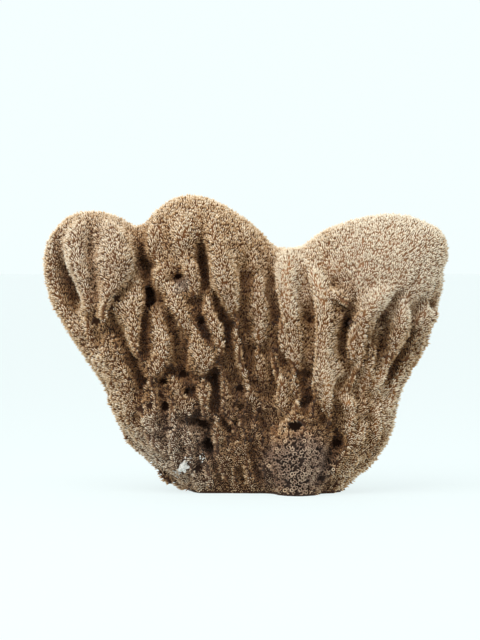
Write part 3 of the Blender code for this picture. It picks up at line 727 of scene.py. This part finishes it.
# the fibre's own tone by height, patches and mottle, together with painted light on the crests and painted
# shade in clefts, seams, valleys and cracks
toneAndShadeLook = {
    "byHeight": (-0.06, 0.04),  # at the foot and at the top
    "top": 200 * mm,
    "patches": (  # x, height and radius in millimetres, then how much lighter, and how much greyer
        (108, 172, 62, 0.30, 0.25), (38, 160, 34, 0.24, 0.1), (-40, 205, 30, 0.04, 0.0),
        (-115, 178, 46, 0.03, 0.2), (62, 100, 34, 0.13, 0.0), (84, 70, 36, 0.22, 0.0),
        (-30, 105, 42, -0.01, 0.0), (-10, 50, 50, -0.02, 0.1), (37, 22, 34, -0.27, 0.65),
        (10, 85, 36, 0.07, 0.0), (-50, 30, 44, -0.02, 0.45), (130, 105, 26, -0.04, 0.0),
        (-49, 153, 8, -0.03, 0.6), (-14, 45, 8, 0.10, 0.0), (-6, 58, 8, 0.10, 0.0),
        (-67, 50, 20, 0.05, 0.0),
    ),
    "edge": 9 * mm,  # how far the edge of a patch wanders
    "edgeDensity": 45,
    "fade": (0.35, 1.1),  # that edge, in radii
    "front": (-5 * mm, 15 * mm),  # depth at which the patches end
    "mottle": 0.05,
    "mottleDensity": 60,
    # from here on painted shade in clefts, seams, valleys and cracks, where shade falls, and painted light
    # on the crests
    "cleft": -0.08,
    "cleftWidth": (0.2, 1.3),
    "ridge": (0.25, 1.1),  # half widths off a crest line at which crest turns into valley
    "least": (0.3, 0.2),  # how much of ridge and seam is left where there is no relief
    "seamWidth": (0.05, 0.6),
    "seam": -0.10,
    "crest": 0.08,
    "valley": -0.10,
    "crack": -0.07,
}
netLook = {
    "spot": (38, 25, 32),  # x, height and radius in millimetres of the place where the fibre is a net
    "fade": (0.55, 1.05),  # its edge, in radii
    "front": (-5 * mm, 5 * mm),  # and the depth at which it ends
    "density": 60,
}


def findNet(skin):
    look = netLook
    values = []
    for vert in skin.data.vertices:
        place = vert.co + noise.noise_vector(vert.co * look["density"]) * toneAndShadeLook["edge"]
        share = 1 - ease(fromMiddle(place, *look["spot"]), *look["fade"])
        values.append(share * (1 - ease(vert.co.y, *look["front"])))
    store(skin, "net", values)


def findToneAndShade(skin, lines):
    look = toneAndShadeLook
    foot, top = look["byHeight"]
    tonesAndShades, greys = [], []
    for vert in skin.data.vertices:
        place = vert.co + noise.noise_vector(vert.co * look["edgeDensity"]) * look["edge"]
        tint = foot + (top - foot) * clamp(vert.co.z / look["top"])
        tint += look["mottle"] * noise.noise(vert.co * look["mottleDensity"])
        grey = 0
        # painted light on the crests, painted shade in the valleys, seams and cracks
        away, seam, further = lines.around(vert.co)
        off = ease(away, *look["ridge"])
        ridgeLeast, seamLeast = look["least"]
        high = relief(vert.co)
        tint += (look["crest"] * (1 - off) + look["valley"] * off) * (ridgeLeast + (1 - ridgeLeast) * high)
        seam *= 1 - ease(further, *look["seamWidth"])
        tint += look["seam"] * seam * (seamLeast + (1 - seamLeast) * high)
        tint += look["crack"] * crack(vert.co)
        front = 1 - ease(vert.co.y, *look["front"])
        for x, z, radius, lighter, greyer in look["patches"]:
            share = front * (1 - ease(fromMiddle(place, x, z, radius), *look["fade"]))
            tint += lighter * share
            grey = max(grey, greyer * share)
        # painted shade in the clefts
        if vert.co.y < 0:
            tint += look["cleft"] * inCleft(vert.co.x / mm, vert.co.z / mm, *look["cleftWidth"])
        tonesAndShades.append(tint)
        greys.append(grey)
    store(skin, "tint", tonesAndShades)
    store(skin, "grey", greys)


# these heights are read by the materials as painted shade
def findHeights(skin, shell):  # how far each spot stands out of the smoothed shell
    heights = []
    for vert in skin.data.vertices:
        spot, normal, _, _ = shell.find_nearest(vert.co)
        heights.append((vert.co - spot).dot(normal))
    store(skin, "height", heights)


# this openness is read by the materials as painted shade
def findOpenness(sketch):  # share of rays that leave a spot freely: 0 down in a cleft, 1 on a crest
    look = skinLook
    tree = treeOf(sketch)
    draw = random.Random(look["raySeed"])
    ways = [Vector([draw.gauss(0, 1) for _ in range(3)]).normalized() for _ in range(look["rays"])]
    values = []
    for vert in sketch.data.vertices:
        normal = vert.normal
        start = vert.co + normal * look["rayStart"]
        free = 0
        for way in ways:
            way = (way + normal * look["rayLean"]).normalized()
            if tree.ray_cast(start, way, look["rayLength"])[0] is None:
                free += 1
        values.append(free / look["rays"])
    store(sketch, "open", values)


def carry(source, target, names):  # each point takes the mean of the nearest face's corners
    tree = treeOf(source)
    values = {name: stored(source, name) for name in names}
    found = {name: [] for name in names}
    for vert in target.data.vertices:
        corners = source.data.polygons[tree.find_nearest(vert.co)[2]].vertices
        for name in names:
            found[name].append(sum(values[name][corner] for corner in corners) / len(corners))
    for name in names:
        store(target, name, found[name])


def trim(skin):  # in by the length of the tufts, up under the left, out at the flanks
    look = skinLook
    edge, slope = look["undercut"]
    moved = []
    for vert in skin.data.vertices:
        place = vert.co - vert.normal * look["inset"] * (vert.co.z > look["cutHeight"])
        low = max(0, (edge - place.x) * slope)
        if place.z < 2 * low:
            place.z = low + place.z / 2
        for way, out, start, end, inner, outer in look["flanks"]:
            swell = math.sin(math.pi * clamp((place.z - start) / (end - start)))
            place.x += way * out * swell * ease(way * place.x, inner, outer)
        moved.append(place)
    move(skin, moved)


def fibreSkin():
    look = skinLook
    sketch = copyOfNode("sponge", "sketch")
    regrow(sketch, look["sketchGrain"], 2)
    outside = treeOf(sketch)
    smoothed = copyOf(sketch, "shell")
    smooth(smoothed, fingerLook["shellRounds"])
    shell = treeOf(smoothed)
    remove(smoothed)
    rolls, crests = layFingers(outside)
    lines = Crests(crests)
    sinkBody(sketch, shell, lines)
    skin = joined(sketch, *rolls)
    skin.name = skin.data.name = "fibreSkin"
    regrow(skin, look["grain"], 2)
    pushIn(skin, lines)
    regrow(skin, look["grain"], 1)
    findHeights(skin, shell)
    findBare(skin)
    findToneAndShade(skin, lines)
    findNet(skin)
    rough = copyOf(skin, "rough")
    regrow(rough, look["sketchGrain"], 0)
    findOpenness(rough)
    carry(rough, skin, ("open",))
    remove(rough)
    trim(skin)
    cut(skin)
    skin.data.shade_smooth()
    print("fibre skin with", triangles(skin), "triangles")
    return skin


def cut(skin):  # flat where it was taken off its rock
    edit(skin)
    bpy.ops.mesh.bisect(plane_co=(0, 0, 0), plane_no=(0, 0, 1), use_fill=True, clear_inner=True)
    editDone()


skin = fibreSkin()


# tufts: short fibre ends all over the skin

tuftLook = {
    "sides": {"Front": (-1.0, 1.92 * mm), "Back": (1.0, 2.56 * mm)},  # face, and least distance between two
    "tries": 5,  # how many places are tried for each that is kept
    "seed": 7,
    "fibre": ((-1.0, 0.44), (1.8, 0.41), (2.8, 0)),  # height and radius of the rings of one fibre, in mm
    "kinds": 8,  # tufts to choose from, each of three or four fibres
    "fibres": (3, 4),
    "foot": 0.55,  # how far from the tuft's middle a fibre starts, and how far it ends, in mm
    "flare": (0.7, 1.6),
    "tall": (0.75, 1.15),
    "sway": 0.35,  # random lean
    "lift": 0.75,  # lean away from tuftRoot
    "size": (0.85, 1.15),
    "floorGap": 1.0 * mm,  # none starts lower than this
    "floorStand": 0.1 * mm,  # and no tip reaches lower than this
    "netCells": 9,  # and low ragged rings and bows, where the fibre is a net: radius and height in mm
    "netCell": (1.15, 3.0),
    "netWall": 0.55 * mm,  # how thick its walls are, and how far their points wander
    "netTip": (0.85, 0.75),  # how light a wall grows towards its top, and at most
    "netGap": 2.0 * mm,
    "columns": {
        "Left": (-1, -0.075), "MidLeft": (-0.075, -0.005), "MidRight": (-0.005, 0.07), "Right": (0.07, 1),
    },
    "split": 0.004,  # depth at which front and back part
}


def fibre(name, heading, flare, tall):  # a triangle drawn up and out, closed to a point
    look = tuftLook
    (base, first), (knee, second), (top, _) = look["fibre"]
    bpy.ops.mesh.primitive_circle_add(
        vertices=3, radius=first * mm, fill_type="NGON", location=(look["foot"] * mm, 0, base * mm)
    )
    made = bpy.context.object
    made.name = made.data.name = name
    bpy.ops.object.transform_apply(location=True, rotation=False, scale=False)
    edit(made)
    away = flare - look["foot"]
    rise = (knee - base) * tall
    bpy.ops.mesh.extrude_region_move(TRANSFORM_OT_translate={"value": (away * 0.6 * mm, 0, rise * mm)})
    bpy.ops.transform.resize(value=(second / first, second / first, 1))
    rise = (top - knee) * tall
    bpy.ops.mesh.extrude_region_move(TRANSFORM_OT_translate={"value": (away * 0.4 * mm, 0, rise * mm)})
    bpy.ops.mesh.merge(type="CENTER")
    bpy.ops.mesh.select_all(action="SELECT")
    bpy.ops.mesh.normals_make_consistent(inside=False)
    editDone()
    store(made, "tip", [(vert.co.z / mm - base) / ((top - base) * tall) for vert in made.data.vertices])
    made.data.shade_smooth()
    made.rotation_euler.z = heading
    bpy.ops.object.transform_apply(location=False, rotation=True, scale=False)
    return made


def rehomed(obj, home):
    for place in list(obj.users_collection):
        place.objects.unlink(obj)
    home.objects.link(obj)


def netKinds():
    look = tuftLook
    home = bpy.data.collections.new("netKinds")
    radius, tall = look["netCell"]
    for number in range(look["netCells"]):
        bpy.ops.mesh.primitive_cylinder_add(
            vertices=7, radius=radius * mm, depth=tall * mm, end_fill_type="NOTHING",
            location=(0, 0, 0.35 * tall * mm),
        )
        cell = bpy.context.object
        cell.name = cell.data.name = f"netCell{number}"
        bpy.ops.object.transform_apply(location=True, rotation=False, scale=False)
        edit(cell)
        bpy.ops.transform.vertex_random(offset=look["netWall"], seed=number)
        bpy.ops.mesh.select_all(action="DESELECT")
        editDone()
        for face in cell.data.polygons:
            face.select = face.index < 2 * (number % 3)
        bpy.ops.object.mode_set(mode="EDIT")
        bpy.ops.mesh.select_mode(type="FACE")
        bpy.ops.mesh.delete(type="FACE")
        editDone()
        wall = cell.modifiers.new("wall", "SOLIDIFY")
        wall.thickness = look["netWall"]
        wall.offset = 0
        applyAll(cell)
        rise, most = look["netTip"]
        store(cell, "tip", [clamp(rise * vert.co.z / mm / tall, 0, most) for vert in cell.data.vertices])
        rehomed(cell, home)
    return home


def tuftKinds():
    look = tuftLook
    home = bpy.data.collections.new("tuftKinds")
    draw = random.Random(look["seed"])
    for number in range(look["kinds"]):
        count = look["fibres"][number % 2]
        first = draw.uniform(0, 2 * math.pi)
        parts = []
        for step in range(count):
            heading = first + (step + draw.uniform(-0.25, 0.25)) * 2 * math.pi / count
            flare, tall = draw.uniform(*look["flare"]), draw.uniform(*look["tall"])
            parts.append(fibre(f"tuft{number}", heading, flare, tall))
        rehomed(joined(*parts), home)
    return home


class Field(Tree):  # one Geometry Nodes tree
    def __init__(self, name):
        super().__init__(bpy.data.node_groups.new(name, "GeometryNodeTree"))
        for way in ("INPUT", "OUTPUT"):
            self.tree.interface.new_socket("Geometry", in_out=way, socket_type="NodeSocketGeometry")
        self.start = self.tree.nodes.new("NodeGroupInput").outputs[0]

    def attribute(self, name, kind="FLOAT"):
        return self.add("GeometryNodeInputNamedAttribute", {"Name": name}, "Attribute", data_type=kind)

    def stored(self, points, name, value, kind="FLOAT"):
        sockets = {"Geometry": points, "Name": name, "Value": value}
        return self.add("GeometryNodeStoreNamedAttribute", sockets, "Geometry", data_type=kind)

    def chance(self, kind, low, high, seed):
        return self.add("FunctionNodeRandomValue", {"Min": low, "Max": high, "Seed": seed}, "Value",
                        data_type=kind)

    def vector(self, kind, first, second):
        return self.add("ShaderNodeVectorMath", {0: first, 1: second}, "Vector", operation=kind)

    def above(self, value, limit):
        return self.math("GREATER_THAN", value, limit)

    def below(self, value, limit):
        return self.math("LESS_THAN", value, limit)

    def end(self, geometry):
        self.tree.links.new(geometry, self.tree.nodes.new("NodeGroupOutput").inputs[0])
        return self.tree


def sown(field, home, gap, wanted, inPart):  # instances of one home's shapes, a least distance apart
    look = tuftLook
    seed = look["seed"]
    points = field.add("GeometryNodeDistributePointsOnFaces", {
        "Mesh": field.start, "Distance Min": gap, "Density Max": look["tries"] / gap**2, "Seed": seed,
    }, "Points", distribute_method="POISSON")
    rotation = next(socket for socket in points.node.outputs if socket.name == "Rotation")
    kept = field.stored(points, "turn", rotation, "QUATERNION")
    kept = field.stored(kept, "tone", field.chance("FLOAT", 0.0, 1.0, seed + 1))
    kept = field.add("GeometryNodeSeparateGeometry", {
        "Geometry": kept, "Selection": field.math("MULTIPLY", inPart, wanted)}, "Selection", domain="POINT")
    upright = field.add("FunctionNodeRotateVector", {
        "Vector": (0.0, 0.0, 1.0), "Rotation": field.attribute("turn", "QUATERNION")}, "Vector")
    sway = field.chance("FLOAT_VECTOR", (-look["sway"],) * 3, (look["sway"],) * 3, seed + 2)
    leaning = field.vector("ADD", upright, sway)
    place = field.add("GeometryNodeInputPosition", {}, "Position")
    growth = field.add("ShaderNodeVectorMath", {0: field.vector("SUBTRACT", place, tuftRoot)}, "Vector",
                       operation="NORMALIZE")
    growth = field.vector("MULTIPLY", growth, (look["lift"],) * 3)
    leaning = field.vector("ADD", leaning, growth)
    turn = field.add("FunctionNodeAlignRotationToVector", {"Vector": leaning}, "Rotation", axis="Z")
    spin = field.add("FunctionNodeAxisAngleToRotation", {
        "Axis": (0.0, 0.0, 1.0), "Angle": field.chance("FLOAT", 0.0, 2 * math.pi, seed + 3)}, "Rotation")
    turn = field.add("FunctionNodeRotateRotation", {"Rotation": turn, "Rotate By": spin}, "Rotation",
                     rotation_space="LOCAL")
    shapes = field.add("GeometryNodeCollectionInfo", {
        "Collection": home, "Separate Children": True, "Reset Children": True}, "Instances")
    low, high = look["size"]
    return field.add("GeometryNodeInstanceOnPoints", {
        "Points": kept, "Instance": shapes, "Pick Instance": True, "Rotation": turn,
        "Scale": field.chance("FLOAT", low, high, seed + 4)}, "Instances")


def scattered(kinds, name, left, right, face, gap):
    look = tuftLook
    field = Field(name)
    place = field.add("GeometryNodeInputPosition", {}, "Position")
    x, y, z = (field.add("ShaderNodeSeparateXYZ", {"Vector": place}, axis) for axis in "XYZ")
    inColumn = field.math("MULTIPLY", field.above(x, left), field.below(x, right))
    onSide = field.above(field.math("MULTIPLY", y, face), face * look["split"])
    bare = field.attribute("bare")
    free = field.math("MULTIPLY", field.above(z, look["floorGap"]), field.below(bare, 0.5))
    inPart = field.math("MULTIPLY", field.math("MULTIPLY", inColumn, onSide), free)
    net = field.attribute("net")
    tuftHome, netHome = kinds
    both = field.tree.nodes.new("GeometryNodeJoinGeometry")
    for instances in (
        sown(field, tuftHome, gap, field.below(net, 0.5), inPart),
        sown(field, netHome, look["netGap"], field.above(net, 0.5), inPart),
    ):
        field.tree.links.new(instances, both.inputs[0])
    whole = field.add("GeometryNodeRealizeInstances", {"Geometry": both.outputs[0]}, "Geometry")
    raised = field.math("MAXIMUM", z, look["floorStand"])
    place = field.add("ShaderNodeCombineXYZ", {"X": x, "Y": y, "Z": raised}, "Vector")
    whole = field.add("GeometryNodeSetPosition", {"Geometry": whole, "Position": place}, "Geometry")
    return field.end(whole)


shadeLook = {  # each attribute from and to here is spread from and to there; height and open give painted shade down in the valleys and clefts
    "height": (-11 * mm, 2 * mm, 0.5, 1.0),
    "open": (0.1, 0.85, 0.58, 1.0),
    "tip": (0.2, 0.9, 0.3, 0.98),
    "tone": (0.0, 1.0, -0.15, 0.15),
}
skinShade = 0.12  # how light the skin is under the tufts


def shaded(nodes, name):
    return nodes.spread(nodes.attribute(name), *shadeLook[name])


# painted shade: darker down between the fingers and in the clefts, where shade falls
def depthShade(nodes):  # least down between the fingers, 1 on a crest in the open
    return nodes.math("MULTIPLY", shaded(nodes, "height"), shaded(nodes, "open"))


def tuftLevel(nodes):  # how light a tuft is: by its place along itself, its own tone and the painted shade of the cleft it is in
    own = nodes.math("ADD", shaded(nodes, "tip"), shaded(nodes, "tone"))
    return nodes.math("MULTIPLY", own, depthShade(nodes))


def tufts(skin):
    look = tuftLook
    kinds = (tuftKinds(), netKinds())
    material = fibreMaterial("tuftFibre", tuftLevel)
    total = 0
    for column, (left, right) in look["columns"].items():
        for side, (face, gap) in look["sides"].items():
            name = f"tufts{column}{side}"
            piece = copyOf(skin, name)
            spread = piece.modifiers.new("spread", "NODES")
            spread.node_group = scattered(kinds, name, left, right, face, gap)
            applyAll(piece)
            piece.data.materials.clear()
            piece.data.materials.append(material)
            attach(piece, "root")
            count = triangles(piece)
            total += count
            print(name, "with", count, "triangles")
    for home in kinds:
        for obj in list(home.objects):
            remove(obj)
    print("tufts in all", total, "triangles")


tufts(skin)


# the skin's lightness, with painted shade from depthShade
def skinLevel(nodes):
    return nodes.math("MULTIPLY", depthShade(nodes), skinShade)


def dress(skin):
    skin.data.materials.append(fibreMaterial("skinFibre", skinLevel))
    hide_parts("sponge")
    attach(skin, "root")


dress(skin)


# chip of coral grit

gritLook = {
    "steps": ((0.36, (0.36, 0.32, 0.27)), (0.55, (0.74, 0.72, 0.68))),
    "roughness": 0.75,
    "specular": 0.3,
    "grain": (1100, 4, 0.65),
    "bump": (0.7, 0.6 * mm),
    "arms": 5,  # ridges that run out from its middle
    "armLength": 3.5 * mm,
    "armDepth": 0.22,
    "pits": (1.0 * mm, 700),  # depth, and how close together
    "crumbs": ((-52, 15, 4.5, 14), (-31, 28, 4, 8), (-42, 27, 4, 6)),  # x, height, spread and number
    "crumb": (0.3, 0.75),  # radius in mm
    "stand": 2.6 * mm,  # of the crumbs, out of the skin
    "seed": 21,
}


def gritMaterial():
    look = gritLook
    nodes = Nodes("coralGrit", look["roughness"], Specular_IOR_Level=look["specular"])
    grain = nodes.noise(*look["grain"])
    return nodes.finish(nodes.ramp(grain, look["steps"]), grain, *look["bump"])


def coralChip(material):  # worn star of coral, pitted all over
    look = gritLook
    chip = copyOfNode("coral_chip", "coralChip")
    edit(chip)
    bpy.ops.mesh.subdivide(number_cuts=3, smoothness=0.5)
    editDone()
    points = chip.data.vertices
    middle = sum((vert.co for vert in points), Vector()) / len(points)
    depth, density = look["pits"]
    moved = []
    for vert in points:
        off = vert.co - middle
        out = clamp(math.hypot(off.x, off.z) / look["armLength"])
        arm = 1 + look["armDepth"] * out * math.cos(look["arms"] * math.atan2(off.z, off.x))
        pit = depth * min(0, noise.noise(vert.co * density) - 0.05)
        moved.append(middle + Vector((off.x * arm, off.y, off.z * arm)) + vert.normal * pit)
    move(chip, moved)
    chip.data.shade_smooth()
    chip.data.materials.append(material)
    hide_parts("coral_chip")
    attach(chip, "root")


def crumbs(tree, material):  # grit of the same coral, caught between the fibres round the chip
    look = gritLook
    draw = random.Random(look["seed"])
    grains = []
    for x, z, spread, count in look["crumbs"]:
        for _ in range(count):
            place = Vector((draw.gauss(x, spread / 2), 0, draw.gauss(z, spread / 2))) * mm
            place.z = max(place.z, 2 * mm)
            place.y = onSurface(tree, place.x, place.z, swing(0)).y - look["stand"]
            bpy.ops.mesh.primitive_ico_sphere_add(
                subdivisions=1, radius=draw.uniform(*look["crumb"]) * mm, location=place,
                rotation=[draw.uniform(0, 3) for _ in range(3)],
            )
            bpy.context.object.scale = [draw.uniform(0.7, 1.2) for _ in range(3)]
            grains.append(bpy.context.object)
    made = joined(*grains)
    bpy.ops.object.transform_apply()
    made.name = made.data.name = "coralCrumbs"
    made.data.materials.append(material)
    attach(made, "root")


def grit(skin):
    material = gritMaterial()
    coralChip(material)
    crumbs(treeOf(skin), material)
    print("coral chip and crumbs laid")


grit(skin)


# floor, light and camera

stageLook = {
    "floor": (0.12, 0.13, 0.13),  # a lit table: it glows almost as bright as the sky
    "glow": 0.80,
    "roughness": 0.9,
    "specular": 0.1,
    "size": 30,
    "sky": (0.91, 1.0, 1.0),
    "skyStrength": 1.0,
}


def floorAndSky():
    look = stageLook
    bpy.ops.mesh.primitive_plane_add(size=look["size"], location=(0, 0, 0))
    floor = bpy.context.object
    floor.name = "floor"
    nodes = Nodes("floorPaper", look["roughness"], Specular_IOR_Level=look["specular"])
    nodes.shader.inputs["Base Color"].default_value = (*look["floor"], 1)
    nodes.shader.inputs["Emission Color"].default_value = (*look["sky"], 1)
    nodes.shader.inputs["Emission Strength"].default_value = look["glow"]
    floor.data.materials.append(nodes.mat)
    world = bpy.data.worlds.new("sky")
    world.use_nodes = True
    back = world.node_tree.nodes["Background"]
    back.inputs["Color"].default_value = (*look["sky"], 1)
    back.inputs["Strength"].default_value = look["skyStrength"]
    bpy.context.scene.world = world


lights = {  # place, target, size and power
    "overheadSoftbox": ((-0.45, -0.75, 1.25), (0, 0, 0.12), 1.2, 18),
}


def softLights():
    for name, (place, target, size, power) in lights.items():
        data = bpy.data.lights.new(name, "AREA")
        data.size = size
        data.energy = power
        lamp = bpy.data.objects.new(name, data)
        bpy.context.scene.collection.objects.link(lamp)
        lamp.location = place
        lamp.rotation_mode = "QUATERNION"
        lamp.rotation_quaternion = (Vector(target) - Vector(place)).to_track_quat("-Z", "Y")


cameraLook = {
    "pixel": 0.743 * mm,  # size of a pixel at the sponge
    "frame": (480, 640),
    "middle": (246, 342.5),  # pixel that the sponge's middle falls on
    "height": 0.110,
    "distance": 2.2,
    "elevation": 1.5,
    "sensor": 36,
}


def camera():
    look = cameraLook
    data = bpy.data.cameras.new("camera")
    made = bpy.data.objects.new("camera", data)
    bpy.context.scene.collection.objects.link(made)
    bpy.context.scene.camera = made
    data.sensor_width = look["sensor"]
    data.lens = look["sensor"] * look["distance"] / (look["frame"][1] * look["pixel"])
    angle = math.radians(look["elevation"])
    back = Vector((0, -math.cos(angle), math.sin(angle)))
    upward = Vector((0, math.sin(angle), math.cos(angle)))
    right = look["pixel"] * (look["frame"][0] / 2 - look["middle"][0])
    lift = look["pixel"] * (look["middle"][1] - look["frame"][1] / 2)
    aim = Vector((right, 0, look["height"])) + upward * lift
    made.location = aim + back * look["distance"]
    made.rotation_mode = "QUATERNION"
    made.rotation_quaternion = (-back).to_track_quat("-Z", "Y")
    data.clip_start, data.clip_end = 0.05, 60


floorAndSky()
softLights()
camera()
bpy.context.scene.view_settings.view_transform = "Standard"
